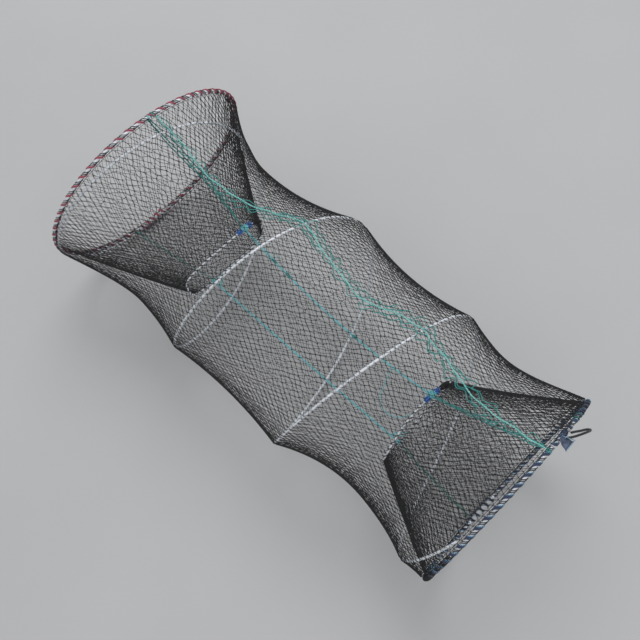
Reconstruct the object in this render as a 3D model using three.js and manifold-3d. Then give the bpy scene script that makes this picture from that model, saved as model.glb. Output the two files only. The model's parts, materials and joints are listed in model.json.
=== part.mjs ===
// Folding crab trap: two steel end hoops, a long wire coil between them, a tube of netting
// laced over both, and a net funnel at each end that narrows to a flat throat.
// Millimetres, +Z up, X along the trap. The far end is at -X and the near end at +X.

import * as THREE from 'three';
import { ParametricGeometry } from 'three/addons/geometries/ParametricGeometry.js';
import { mergeVertices } from 'three/addons/utils/BufferGeometryUtils.js';
import Module from 'manifold-3d';

const wasm = await Module();
wasm.setup();

// ---------- driving dimensions ----------

const trapLength = 587;          // between the middles of the two hoops
const farHoopRadius = 144;       // to the middle of the wire
const nearHoopRadius = 134;
const coilRadius = 131;
const hoopWire = 3.5;            // diameters
const coilWire = 3;
const throatWire = 2.2;
const lacingThickness = 1.7;     // twine wound round a hoop
const netThickness = 1;
const tensionCord = 2;           // diameters
const seamCord = 2.4;
const funnelSeam = 1.8;
const tieCord = 2.6;
const slackTwine = 1.2;
const knotSize = 10;
const knotStretch = 1.25;        // a knot is longer along its wire by this much
const tieKnotSize = 15;          // the knot that holds the tie loop on the near hoop

const gap = 0.3;                 // between pieces that touch
const netSlack = 1;              // between the coil and the netting over it
const endClearance = 0.6;        // between a throat wire and the netting that is tied to it

const sleeveLength = 44;         // the sleeve that joins a hoop's wire ends, flat underneath
const sleeveHalf = 6;            // from the middle of the wire down to the sleeve's flat face
const sleeveDepth = 10;          // along the trap
const floorClearance = 0.8;      // under the netting between the hoops
const wireEndGap = 0.8;          // between the two ends of a bent wire
const lacingToSleeve = 2;        // between the lacing's ends and the sleeve

// How the soft trap stands: each hoop leans, turns and sits a little to one side.
const farHoop = { at: 0, radius: farHoopRadius, lean: 8.8, turn: 3.4, side: -9 };
const nearHoop = { at: trapLength, radius: nearHoopRadius, lean: 3.2, turn: -0.7, side: 5 };
const middleSide = -6;           // of the coil, between the hoops
const flare = 110;               // the length over which the coil's shape becomes the hoop's

// The coil passes -Y, the top, +Y and the bottom of the trap in turn, at these shares of the
// free length between the hoops. The wire meets the near hoop before it gets to the last of
// them. The netting draws it in there by these shares of the room between it and the funnel.
const coilPlaces = [
  0, 0.029, 0.12, 0.239, 0.319, 0.38, 0.456, 0.547, 0.62, 0.698, 0.755, 0.866, 0.964, 1.03,
];
const coilDrawnIn = [0, 0.345, 0.873, 0.109, 0, 0, 0, 0.145, 0, 0, 0, 0, 0, 0];
const coilLeadIn = 60;           // degrees of wire lying along the far hoop
const coilEnd = 1120;            // degrees from the first of those places to the wire's other end

// The throats are flat loops: half width, half height, place and slant of each, and how far
// its upper side bows along the trap.
const farFunnelDepth = 145;      // from a hoop to its throat, along the trap
const nearFunnelDepth = 127;
const farThroat = {
  at: farFunnelDepth, middle: -13, half: 63, height: 125, rise: 20, slant: -5, turn: 0, bow: 0,
};
const nearThroat = {
  at: trapLength - nearFunnelDepth, middle: 0, half: 64, height: 123, rise: 19, slant: 2, turn: -3, bow: -9,
};
const throatSquareness = 4;      // 2 is an ellipse, more is squarer

const around = 24;               // facets round the netting
const netJoints = [0.25, 0.5, 0.75];   // shares of the length where one stretch meets the next
const endStretchSteps = 5;       // facets along the netting's flared stretches and its straight ones
const middleStretchSteps = 2;
const funnelSteps = 4;
const wireSides = 8;
const cordSides = 6;
const hoopSteps = 56;
const lacingSteps = 44;
const coilSteps = 114;
const throatSteps = 44;
const slantAllowance = 2.5;      // a slanted wall is this much thicker where a knot is cut round it
const radians = THREE.MathUtils.degToRad;

// ---------- what follows from them ----------

const lacingRadius = hoopWire / 2 + gap + lacingThickness;
const hoopToCoil = lacingRadius + coilWire / 2 + gap;
const coilRoom = Math.max(0, coilRadius - (farHoopRadius + farThroat.half) / 2);
const facetAllowance = 1 / Math.cos(Math.PI / around);
const widestFlare = Math.max(Math.abs(farHoopRadius - coilRadius), Math.abs(nearHoopRadius - coilRadius));
const netStep = (netJoints[0] * trapLength) / endStretchSteps;
const flareSag = (6 * widestFlare * netStep ** 2) / (8 * flare ** 2);   // of a straight facet on the flare
const netInside = coilWire / 2 + Math.max(netSlack, flareSag + gap);
const mostLean = radians(Math.max(farHoop.lean, nearHoop.lean));
const netMargin = sleeveDepth / 2 + sleeveHalf * Math.sin(mostLean) + 2 * gap;
const middleHeight = (coilRadius + netInside) * facetAllowance + netThickness + floorClearance;

const whiteWire = { color: 0xd9dde2, roughness: 0.4, metalness: 0.0 };
const blackNet = { color: 0x17181b, roughness: 0.85, metalness: 0.0 };
const redTwine = { color: 0xb03050, roughness: 0.8, metalness: 0.0 };
const blueTwine = { color: 0x3a6a90, roughness: 0.8, metalness: 0.0 };
const tealTwine = { color: 0x2fa89a, roughness: 0.7, metalness: 0.0 };
const cobaltTwine = { color: 0x2050c0, roughness: 0.7, metalness: 0.0 };
const blackCord = { color: 0x141416, roughness: 0.75, metalness: 0.0 };
const greySleeve = { color: 0xb8bcc2, roughness: 0.5, metalness: 0.0 };

// ---------- the shape of the standing trap ----------

// How far the middle of a straight step falls inside the arc it stands for.
function chordSag(radius, steps) {
  return radius * (1 - Math.cos(Math.PI / steps));
}

function fade(share) {
  const t = THREE.MathUtils.clamp(share, 0, 1);
  return 1 - t * t * (3 - 2 * t);
}

// How much a place along the trap belongs to each hoop; the rest belongs to the coil.
function hoopShares(along) {
  return { far: fade(along / flare), near: fade((trapLength - along) / flare) };
}

function blended(along, farValue, nearValue, coilValue) {
  const { far, near } = hoopShares(along);
  return far * farValue + near * nearValue + (1 - far - near) * coilValue;
}

function hoopHeight(hoop) {
  return sleeveHalf + hoop.radius * Math.cos(radians(hoop.lean));
}

function wrapRadius(along) {
  return blended(along, farHoop.radius, nearHoop.radius, coilRadius);
}

// A point at a radius and an angle (from +Y towards +Z) on the cross-section at a place.
function place(along, angle, radius) {
  const lean = radians(blended(along, farHoop.lean, nearHoop.lean, 0));
  const turn = radians(blended(along, farHoop.turn, nearHoop.turn, 0));
  const side = blended(along, farHoop.side, nearHoop.side, middleSide);
  const height = blended(along, hoopHeight(farHoop), hoopHeight(nearHoop), middleHeight);
  const across = radius * Math.cos(angle);
  const up = radius * Math.sin(angle);
  return new THREE.Vector3(
    along + up * Math.sin(lean) + across * Math.sin(turn),
    side + across * Math.cos(turn),
    height + up * Math.cos(lean),
  );
}

// A point on a throat's flat loop, grown outwards by a margin and moved along the trap.
function throatPoint(throat, angle, grow = 0, shift = 0) {
  const power = 2 / throatSquareness;
  const c = Math.cos(angle);
  const s = Math.sin(angle);
  const across = (throat.half + grow) * Math.sign(c) * Math.abs(c) ** power;
  const up = (throat.rise + grow) * Math.sign(s) * Math.abs(s) ** power;
  const height = up / throat.rise;
  const bend = throat.bow * ((1 + height) / 2) * (1 - (across / throat.half) ** 2);
  return new THREE.Vector3(
    throat.at + shift + across * Math.sin(radians(throat.turn)) + throat.slant * height + bend,
    throat.middle + across,
    throat.height + up,
  );
}

// ---------- solids ----------

function roundSection(radius, sides) {
  const corners = [];
  for (let i = 0; i < sides; i += 1) {
    const angle = (2 * Math.PI * i) / sides;
    corners.push(new THREE.Vector2(radius * Math.cos(angle), radius * Math.sin(angle)));
  }
  return corners;
}

function sweep(points, section, steps) {
  const path = new THREE.CatmullRomCurve3(points);
  return new THREE.ExtrudeGeometry(section, { steps, bevelEnabled: false, extrudePath: path });
}

function tube(points, diameter, sides, steps) {
  return sweep(points, new THREE.Shape(roundSection(diameter / 2, sides)), steps);
}

function sleeveAlong(points, insideRadius, outsideRadius, sides, steps) {
  const section = new THREE.Shape(roundSection(outsideRadius, sides));
  section.holes.push(new THREE.Path(roundSection(insideRadius, sides)));
  return sweep(points, section, steps);
}

function toManifold(geometry) {
  const bare = geometry.clone();
  bare.deleteAttribute('normal');
  bare.deleteAttribute('uv');
  const merged = mergeVertices(bare, 1e-4);
  return new wasm.Manifold(new wasm.Mesh({
    numProp: 3,
    vertProperties: new Float32Array(merged.attributes.position.array),
    triVerts: new Uint32Array(merged.index.array),
  }));
}

function fromManifold(solid) {
  const mesh = solid.getMesh();
  const geometry = new THREE.BufferGeometry();
  geometry.setAttribute('position', new THREE.BufferAttribute(mesh.vertProperties, 3));
  geometry.setIndex(new THREE.BufferAttribute(mesh.triVerts, 1));
  geometry.computeVertexNormals();
  return geometry;
}

function cut(body, ...tools) {
  let solid = toManifold(body);
  for (const tool of tools) {
    solid = solid.subtract(toManifold(tool));
  }
  return fromManifold(solid);
}

// A thin wall that closes on itself round the trap. outside and inside give the points of
// its two faces, from a share along it (0 to 1) and an angle.
function netWall(outside, inside, steps) {
  const stations = 2 * steps + 2;
  const point = (share, turnShare, target) => {
    const station = Math.round(share * stations) % stations;
    const angle = -2 * Math.PI * (Math.round(turnShare * around) % around) / around;
    const onOutside = station <= steps;
    const along = onOutside ? station / steps : (stations - 1 - station) / steps;
    target.copy(onOutside ? outside(along, angle) : inside(along, angle));
  };
  return new ParametricGeometry(point, stations, around);
}

// ---------- end hoops ----------

function hoopArc(hoop, radius, fromDegrees, toDegrees, pieces, shift = 0) {
  const points = [];
  for (let i = 0; i <= pieces; i += 1) {
    const angle = radians(fromDegrees + ((toDegrees - fromDegrees) * i) / pieces);
    const point = place(hoop.at, angle, radius);
    point.x += shift;
    points.push(point);
  }
  return points;
}

// The wire starts and ends in the middle of the sleeve, at the bottom of the hoop.
function hoopWirePoints(hoop) {
  const half = THREE.MathUtils.radToDeg(wireEndGap / 2 / hoop.radius);
  return hoopArc(hoop, hoop.radius, -90 + half, 270 - half, 72);
}

function hoopSleeve(hoop) {
  const bottom = place(hoop.at, -Math.PI / 2, hoop.radius);
  const block = new THREE.BoxGeometry(sleeveDepth, sleeveLength, 2 * sleeveHalf);
  block.rotateZ(-radians(hoop.turn));
  block.translate(bottom.x, bottom.y, bottom.z);
  const reach = THREE.MathUtils.radToDeg(sleeveLength / hoop.radius);
  const bore = tube(hoopArc(hoop, hoop.radius, -90 - reach, -90 + reach, 16), hoopWire + 2 * gap, 12, 16);
  return cut(block, bore);
}

function hoopLacing(hoop) {
  const half = THREE.MathUtils.radToDeg((sleeveLength / 2 + lacingToSleeve) / hoop.radius);
  const points = hoopArc(hoop, hoop.radius, -90 + half, 270 - half, 48);
  const bore = (hoopWire / 2 + gap + chordSag(hoop.radius, lacingSteps)) / Math.cos(Math.PI / cordSides);
  return sleeveAlong(points, bore, lacingRadius, cordSides, lacingSteps);
}

// ---------- coil ----------

// A smooth line through values a quarter turn apart, read at an angle along the wire.
function alongCoil(values, degrees) {
  const line = new THREE.SplineCurve(values.map((value, i) => new THREE.Vector2(i, value)));
  return line.getPoint(THREE.MathUtils.clamp(degrees / 90 / (values.length - 1), 0, 1)).y;
}

// The wire goes over the top from -Y to +Y and back underneath, and on towards the near end.
function coilPoints() {
  const free = trapLength - 2 * hoopToCoil;
  const step = 10;
  const points = [];
  for (let degrees = -coilLeadIn; degrees <= coilEnd; degrees += step) {
    const along = hoopToCoil + free * alongCoil(coilPlaces, degrees);
    const drawnIn = coilRoom * Math.max(0, alongCoil(coilDrawnIn, degrees));
    points.push(place(along, Math.PI - radians(degrees), wrapRadius(along) - drawnIn));
  }
  return points;
}

// ---------- netting ----------

function netRadius(along) {
  return (wrapRadius(along) + netInside) * facetAllowance;
}

function bodyNet(from, to, steps) {
  const along = (share) => from + share * (to - from);
  const outside = (share, angle) => place(along(share), angle, netRadius(along(share)) + netThickness);
  const inside = (share, angle) => place(along(share), angle, netRadius(along(share)));
  return netWall(outside, inside, steps);
}

function netStretches() {
  const edges = [netMargin, ...netJoints.map((share) => share * trapLength), trapLength - netMargin];
  const stretches = [];
  for (let i = 0; i + 1 < edges.length; i += 1) {
    const from = edges[i] + (i > 0 ? gap / 2 : 0);
    const to = edges[i + 1] - (i + 2 < edges.length ? gap / 2 : 0);
    const atAnEnd = i === 0 || i + 2 === edges.length;
    stretches.push(bodyNet(from, to, atAnEnd ? endStretchSteps : middleStretchSteps));
  }
  return stretches;
}

// inward is +1 where the funnel narrows towards +X and -1 where it narrows towards -X.
function funnelPoint(hoop, throat, inward, share, angle, depth, grow = 0) {
  const mouth = place(hoop.at, angle, hoop.radius - sleeveHalf - 2 * gap - depth);
  const back = -inward * (throatWire / 2 + endClearance - grow);
  const end = throatPoint(throat, angle, -depth, back);
  return mouth.lerp(end, share);
}

function funnelNet(hoop, throat, inward, grow = 0) {
  const innerDepth = netThickness + slantAllowance * grow;
  const outside = (share, angle) => funnelPoint(hoop, throat, inward, share, angle, -grow, grow);
  const inside = (share, angle) => funnelPoint(hoop, throat, inward, share, angle, innerDepth, grow);
  return inward > 0 ? netWall(outside, inside, funnelSteps) : netWall(
    (share, angle) => outside(share, -angle),
    (share, angle) => inside(share, -angle),
    funnelSteps,
  );
}

// ---------- throat wires, knots and cords ----------

// The wire's two ends meet inside the upper knot.
function throatWirePoints(throat, startAngle) {
  const pieces = 56;
  const half = wireEndGap / 2 / throat.half;
  const points = [];
  for (let i = 0; i <= pieces; i += 1) {
    const angle = startAngle + half + ((2 * Math.PI - 2 * half) * i) / pieces;
    points.push(throatPoint(throat, angle));
  }
  return points;
}

function throatAngleAt(throat, y, upper) {
  const share = THREE.MathUtils.clamp((y - throat.middle) / throat.half, -1, 1);
  const angle = Math.acos(Math.sign(share) * Math.abs(share) ** (throatSquareness / 2));
  return upper ? angle : -angle;
}

// Where each tension cord is tied to the throat wires.
const upperTie = { far: 26, near: 29 };
const lowerTie = { far: -40, near: -30 };
const upperSag = 32;
const lowerSag = 3;

function tiePoint(throat, y, upper) {
  return throatPoint(throat, throatAngleAt(throat, y, upper));
}

function tensionCordPoints(from, to, sag) {
  const pieces = 12;
  const points = [];
  for (let i = 0; i <= pieces; i += 1) {
    const share = i / pieces;
    const point = from.clone().lerp(to, share);
    point.z -= 4 * sag * share * (1 - share);
    points.push(point);
  }
  return points;
}

const upperCordEnds = [tiePoint(farThroat, upperTie.far, true), tiePoint(nearThroat, upperTie.near, true)];
const lowerCordEnds = [tiePoint(farThroat, lowerTie.far, false), tiePoint(nearThroat, lowerTie.near, false)];

// Each cord stops short of the throat wires, inside its knots.
function cordBetween(ends, sag, stopShort) {
  const along = ends[1].clone().sub(ends[0]).normalize().multiplyScalar(stopShort);
  return tensionCordPoints(ends[0].clone().add(along), ends[1].clone().sub(along), sag);
}

const cordStop = throatWire / 2 + endClearance;
const upperCordRoute = cordBetween(upperCordEnds, upperSag, cordStop);
const lowerCordRoute = cordBetween(lowerCordEnds, lowerSag, cordStop);

function knotAt(point, size, ...throughPieces) {
  const ball = new THREE.SphereGeometry(size / 2, 10, 8);
  ball.scale(1, knotStretch, 1);
  ball.translate(point.x, point.y, point.z);
  return cut(ball, ...throughPieces);
}

function throatKnot(hoop, throat, inward, tie, upper, cordRoute) {
  const point = tiePoint(throat, tie, upper);
  const middleAngle = throatAngleAt(throat, tie, upper);
  const reach = radians(23);
  const wirePoints = [];
  for (let i = 0; i <= 16; i += 1) {
    wirePoints.push(throatPoint(throat, middleAngle - reach + (2 * reach * i) / 16));
  }
  const wireHole = tube(wirePoints, throatWire + 2 * gap, wireSides, 32);
  const cordHole = tube(cordRoute, tensionCord + 2 * gap, wireSides, 24);
  return knotAt(point, knotSize, wireHole, cordHole, funnelNet(hoop, throat, inward, gap));
}

const funnelBow = 2.2;           // the funnels' flat facets bow this far from their true curve
const seamStart = 0.03;          // shares of the way from the hoop to the throat
const seamEnd = 0.88;

// A funnel seam lies on the chamber side of its funnel, from the hoop to a knot.
function funnelSeamPoints(hoop, throat, inward, mouthDegrees, tieAngle) {
  const mouthAngle = radians(mouthDegrees);
  const away = -(funnelSeam / 2 + gap + funnelBow);
  const pieces = 8;
  const points = [];
  for (let i = 0; i <= pieces; i += 1) {
    const share = seamStart + ((seamEnd - seamStart) * i) / pieces;
    const angle = mouthAngle + (tieAngle - mouthAngle) * share;
    points.push(funnelPoint(hoop, throat, inward, share, angle, away));
  }
  return points;
}

// The seam cord wanders over the top of the netting: degrees from +Y at shares of the length.
const seamPieces = 48;
const seamDegrees = [83, 81, 80.5, 80, 74, 70.5, 75.5, 78, 72, 71.5, 75, 80.5, 82];

function netSeamPoints() {
  const wander = new THREE.SplineCurve(seamDegrees.map((degrees, i) => new THREE.Vector2(i, degrees)));
  const first = netMargin + 1;
  const last = trapLength - netMargin - 1;
  const step = (last - first) / seamPieces;
  const ownSag = flareSag * (step / netStep) ** 2;
  const points = [];
  for (let i = 0; i <= seamPieces; i += 1) {
    const along = first + step * i;
    const radius = netRadius(along) + netThickness + flareSag + ownSag + gap + seamCord / 2;
    points.push(place(along, radians(wander.getPoint(i / seamPieces).y), radius));
  }
  return points;
}

// A slack length of twine from the near upper knot back to the upper tension cord, relative
// to the middle of that knot.
const slackRoute = [
  [-3, -9.5, -8], [-2.7, -12.4, -18], [-4.2, -17, -29], [-7.4, -24.3, -39], [-15, -32.6, -47],
  [-27.5, -38.5, -50], [-39.5, -38.4, -47], [-48.5, -33, -39], [-52.6, -22.6, -30], [-57, -12, -22],
  [-60, -4, -16],
];

function slackTwinePoints() {
  const knot = upperCordEnds[1];
  return slackRoute.map(([x, y, z]) => new THREE.Vector3(knot.x + x, knot.y + y, knot.z + z));
}

// The black loop that ties the folded trap shut, laid over the near hoop: distance outside
// the hoop, degrees from +Y, and distance out past the hoop's lacing.
const tieRoute = [
  [0, 71.5, 0], [4, 69, 0.6], [8, 65.5, 1.4], [11.5, 61.5, 1.2], [13.5, 58, -0.6], [13, 56, -3],
  [10, 57, -4.6], [6.5, 60.5, -4.4], [3, 64, -2.8], [0.2, 67, -1],
];

const tieUp = 0.6;               // the loop leaves the hoop this much upwards, and this much outwards
const tieOut = 0.85;
const tieKnotDegrees = 69.5;

function outsideNearHoop(out, degrees, beyond) {
  const reach = lacingRadius + tieCord / 2 + gap;
  const point = place(nearHoop.at, radians(degrees), nearHoop.radius + reach * tieUp + beyond);
  point.x += reach * tieOut + out;
  return point;
}

function tieLoopPoints() {
  return tieRoute.map(([out, degrees, beyond]) => outsideNearHoop(out, degrees, beyond));
}

// The knot grips the laced hoop and holds both ends of the loop.
function tieLoopKnot() {
  const middlePoint = outsideNearHoop(0, tieKnotDegrees, 0);
  const hoopPart = hoopArc(nearHoop, nearHoop.radius, tieKnotDegrees - 20, tieKnotDegrees + 20, 16);
  const bore = lacingRadius + gap + chordSag(nearHoop.radius, lacingSteps);
  const hoopHole = tube(hoopPart, (2 * bore) / Math.cos(Math.PI / wireSides), wireSides, 16);
  const loopHole = tube(tieLoopPoints(), tieCord + 2 * gap, wireSides, 60);
  return knotAt(middlePoint, tieKnotSize, hoopHole, loopHole);
}

// ---------- assembly ----------

const pieces = new THREE.Group();

function add(name, geometry, look) {
  const mesh = new THREE.Mesh(geometry, new THREE.MeshStandardMaterial(look));
  mesh.name = name;
  pieces.add(mesh);
  return mesh;
}

add('far_hoop', tube(hoopWirePoints(farHoop), hoopWire, wireSides, hoopSteps), whiteWire);
add('near_hoop', tube(hoopWirePoints(nearHoop), hoopWire, wireSides, hoopSteps), whiteWire);
add('far_hoop_sleeve', hoopSleeve(farHoop), greySleeve);
add('near_hoop_sleeve', hoopSleeve(nearHoop), greySleeve);
add('far_hoop_lacing', hoopLacing(farHoop), redTwine);
add('near_hoop_lacing', hoopLacing(nearHoop), blueTwine);
add('coil_spring', tube(coilPoints(), coilWire, cordSides, coilSteps), whiteWire);

netStretches().forEach((geometry, i) => add(`body_net_${i + 1}`, geometry, blackNet));
add('far_funnel_net', funnelNet(farHoop, farThroat, 1), blackNet);
add('near_funnel_net', funnelNet(nearHoop, nearThroat, -1), blackNet);

const farUpper = throatAngleAt(farThroat, upperTie.far, true);
const farLower = throatAngleAt(farThroat, lowerTie.far, false);
const nearUpper = throatAngleAt(nearThroat, upperTie.near, true);
const nearLower = throatAngleAt(nearThroat, lowerTie.near, false);

const farThroatWire = throatWirePoints(farThroat, farUpper);
const nearThroatWire = throatWirePoints(nearThroat, nearUpper);
add('far_throat_wire', tube(farThroatWire, throatWire, cordSides, throatSteps), whiteWire);
add('near_throat_wire', tube(nearThroatWire, throatWire, cordSides, throatSteps), whiteWire);

const throatKnots = [
  ['far_upper_knot', farHoop, farThroat, 1, upperTie.far, true, upperCordRoute],
  ['near_upper_knot', nearHoop, nearThroat, -1, upperTie.near, true, upperCordRoute],
  ['far_lower_knot', farHoop, farThroat, 1, lowerTie.far, false, lowerCordRoute],
  ['near_lower_knot', nearHoop, nearThroat, -1, lowerTie.near, false, lowerCordRoute],
];
for (const [name, hoop, throat, inward, tie, upper, cordRoute] of throatKnots) {
  add(name, throatKnot(hoop, throat, inward, tie, upper, cordRoute), cobaltTwine);
}
add('upper_tension_cord', tube(upperCordRoute, tensionCord, cordSides, 24), tealTwine);
add('lower_tension_cord', tube(lowerCordRoute, tensionCord, cordSides, 24), tealTwine);

add('net_seam_cord', tube(netSeamPoints(), seamCord, cordSides, seamPieces), tealTwine);
const funnelSeams = [
  ['far_upper_funnel_seam', farHoop, farThroat, 1, 87, farUpper],
  ['far_lower_funnel_seam', farHoop, farThroat, 1, -103, farLower],
  ['near_upper_funnel_seam', nearHoop, nearThroat, -1, 80, nearUpper],
  ['near_lower_funnel_seam', nearHoop, nearThroat, -1, -98, nearLower],
];
for (const [name, hoop, throat, inward, mouthDegrees, tieAngle] of funnelSeams) {
  const route = funnelSeamPoints(hoop, throat, inward, mouthDegrees, tieAngle);
  add(name, tube(route, funnelSeam, cordSides, 10), tealTwine);
}

add('tie_loop_knot', tieLoopKnot(), blueTwine);
add('slack_twine', tube(slackTwinePoints(), slackTwine, wireSides, 36), tealTwine);
add('tie_loop', tube(tieLoopPoints(), tieCord, wireSides, 30), blackCord);

// The origin is under the middle of the trap, on the floor.
const freeCords = ['slack_twine', 'tie_loop', 'tie_loop_knot'];
const standing = new THREE.Box3();
for (const mesh of pieces.children) {
  if (!freeCords.includes(mesh.name)) {
    standing.expandByObject(mesh);
  }
}
const middle = standing.getCenter(new THREE.Vector3());
pieces.position.set(-middle.x, -middle.y, -standing.min.z);

const trap = new THREE.Group();
trap.add(pieces);

export default trap;
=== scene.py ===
"""Folding crab trap: wire hoops and coil, knotted netting, twine seams and knots, on a pale floor."""
import json
import math
from functools import lru_cache

import bpy
import numpy as np
from mathutils import Matrix, Vector


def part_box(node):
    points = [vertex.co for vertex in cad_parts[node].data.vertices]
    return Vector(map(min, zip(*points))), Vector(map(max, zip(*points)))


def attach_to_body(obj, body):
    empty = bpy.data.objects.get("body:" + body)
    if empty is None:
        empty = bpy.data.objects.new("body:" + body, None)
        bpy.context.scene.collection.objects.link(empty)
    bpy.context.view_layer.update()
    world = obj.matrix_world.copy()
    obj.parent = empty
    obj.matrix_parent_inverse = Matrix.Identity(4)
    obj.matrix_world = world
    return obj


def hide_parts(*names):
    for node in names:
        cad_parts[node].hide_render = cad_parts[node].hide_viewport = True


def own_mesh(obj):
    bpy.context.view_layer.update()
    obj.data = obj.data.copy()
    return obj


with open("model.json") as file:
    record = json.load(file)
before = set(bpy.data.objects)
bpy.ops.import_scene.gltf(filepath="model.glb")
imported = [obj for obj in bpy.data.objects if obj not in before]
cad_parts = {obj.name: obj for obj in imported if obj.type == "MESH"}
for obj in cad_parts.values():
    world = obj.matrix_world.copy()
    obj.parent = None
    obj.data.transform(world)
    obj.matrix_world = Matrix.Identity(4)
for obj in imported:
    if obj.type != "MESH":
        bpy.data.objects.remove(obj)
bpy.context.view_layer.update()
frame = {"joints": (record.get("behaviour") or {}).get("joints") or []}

# ---------- driving dimensions, in metres ----------

trap_length = 0.587          # between the middles of the two hoops
far_radius = 0.144
near_radius = 0.134
coil_radius = 0.131
hoop_wire = 0.0035           # diameters
coil_wire = 0.003
throat_wire = 0.0022
sleeve_half = 0.006          # from the middle of a hoop's wire down to its sleeve's flat face
sleeve_length = 0.044
floor_clearance = 0.0008
net_thickness = 0.001
net_slack = 0.001
gap = 0.0003
facets_round = 24            # of the netting's plain solid, which sets the height of the trap's middle

far_lean, far_turn, far_side = math.radians(8.8), math.radians(3.4), -0.009
near_lean, near_turn, near_side = math.radians(3.2), math.radians(-0.7), 0.005
middle_side = -0.006         # of the coil, between the hoops
flare = 0.110                # the length over which the coil's shape becomes the hoop's

hoop_to_coil = hoop_wire / 2 + gap + 0.0017 + coil_wire / 2 + gap
coil_places = [              # shares of the free length, a quarter turn apart, from -Y over the top
    0, 0.029, 0.12, 0.239, 0.319, 0.38, 0.456, 0.547, 0.62, 0.698, 0.755, 0.866, 0.964, 1.03,
]
coil_drawn_in = [0, 9.5, 24, 3, 0, 0, 0, 4, 0, 0, 0, 0, 0, 0]      # millimetres, at the same places
coil_lead_in, coil_end = 60, 1120    # degrees of wire before the first place, and after it

mesh_round = 112             # meshes of the netting round the trap
mesh_along = 52              # and from hoop to hoop
mesh_funnel = 15             # and from a hoop to its throat
thread = 0.0007              # diameter of the netting's thread
net_edge = 0.005             # from a hoop's middle to the netting's edge, along the trap
mouth_shift = 0.003          # of a funnel's edge, towards the far end
funnel_sag = 0.006           # halfway down a funnel
neck_depth = 0.014           # how far the netting draws in halfway between two wires
neck_span = 0.190            # that are this far apart
left_neck = [1, 1, 1, 0.62, 0.62, 1.7, 1.8, 1.8]      # times that, along the -Y side of the trap
right_neck = [3.2, 2, 1, 1, 1, 1, 1.3, 1.3]           # and along its +Y side

# ---------- where things are ----------

far_low, far_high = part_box("far_hoop")
trap_start = Vector(((far_low.x + far_high.x) / 2, (far_low.y + far_high.y) / 2 - far_side, 0))
joints = {joint["name"]: joint for joint in frame["joints"]}
far_foot = joints["far_hoop_lean"]["pos_m"]
near_foot = joints["near_hoop_lean"]["pos_m"]
middle_height = (coil_radius + coil_wire / 2 + net_slack) / math.cos(math.pi / facets_round)
middle_height += net_thickness + floor_clearance


def fade(share):
    t = min(max(share, 0.0), 1.0)
    return 1 - t * t * (3 - 2 * t)


def blended(along, far_value, near_value, coil_value):
    far = fade(along / flare)
    near = fade((trap_length - along) / flare)
    return far * far_value + near * near_value + (1 - far - near) * coil_value


def wrap_radius(along):
    return blended(along, far_radius, near_radius, coil_radius)


def on_trap(along, angle, radius):
    """The point at a radius and an angle (from +Y towards +Z) on the cross-section at a place."""
    lean = blended(along, far_lean, near_lean, 0)
    turn = blended(along, far_turn, near_turn, 0)
    side = blended(along, far_side, near_side, middle_side)
    far_height = sleeve_half + far_radius * math.cos(far_lean)
    near_height = sleeve_half + near_radius * math.cos(near_lean)
    height = blended(along, far_height, near_height, middle_height)
    across = radius * math.cos(angle)
    up = radius * math.sin(angle)
    return trap_start + Vector((
        along + up * math.sin(lean) + across * math.sin(turn),
        side + across * math.cos(turn),
        height + up * math.cos(lean),
    ))


def through(values, position):
    """A smooth curve through evenly spaced values, read at a position between them."""
    last = len(values) - 1
    i = min(int(position), last - 1)
    t = position - i
    a, b = values[max(i - 1, 0)], values[i]
    c, d = values[i + 1], values[min(i + 2, last)]
    rise_in, rise_out = (c - a) / 2, (d - b) / 2
    return ((2 * b - 2 * c + rise_in + rise_out) * t + (3 * c - 3 * b - 2 * rise_in - rise_out)) * t * t \
        + rise_in * t + b


free_length = trap_length - 2 * hoop_to_coil
quarter_places = [hoop_to_coil + share * free_length for share in coil_places]


def coil_along(degrees):
    return through(quarter_places, max(degrees, 0) / 90)


def coil_in(degrees):
    return max(0, through(coil_drawn_in, max(degrees, 0) / 90)) / 1000


@lru_cache(maxsize=None)
def wires_at(degrees_round):
    """Where the hoops and the coil hold the netting at one angle round it, and how far in."""
    places = [(0.0, 0.0), (trap_length, 0.0)]
    degrees = (180 - degrees_round) % 360 - 360
    while degrees <= coil_end:
        if degrees >= -coil_lead_in:
            places.append((coil_along(degrees), coil_in(degrees)))
        degrees += 360
    return sorted(places)


def neck(along, angle):
    """How far the netting draws in towards the trap's middle."""
    places = wires_at(round(math.degrees(angle), 1) % 360)
    for (before, before_in), (after, after_in) in zip(places, places[1:]):
        if before <= along <= after and after > before:
            span = after - before
            t = (along - before) / span
            right = (1 + math.cos(angle)) / 2
            middle = (before + after) / 2 / trap_length * (len(left_neck) - 1)
            looseness = right * through(right_neck, middle) + (1 - right) * through(left_neck, middle)
            sag = looseness * neck_depth * (span / neck_span) ** 2 * 4 * t * (1 - t)
            return sag + before_in * (1 - t) + after_in * t
    return 0.0


def on_net(along, angle, outwards=0.0):
    """A point on the body netting, which lies over the wires and draws in between them."""
    over_wire = blended(along, hoop_wire / 2, hoop_wire / 2, coil_wire / 2) + thread
    return on_trap(along, angle, wrap_radius(along) + over_wire + outwards - neck(along, angle))


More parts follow.
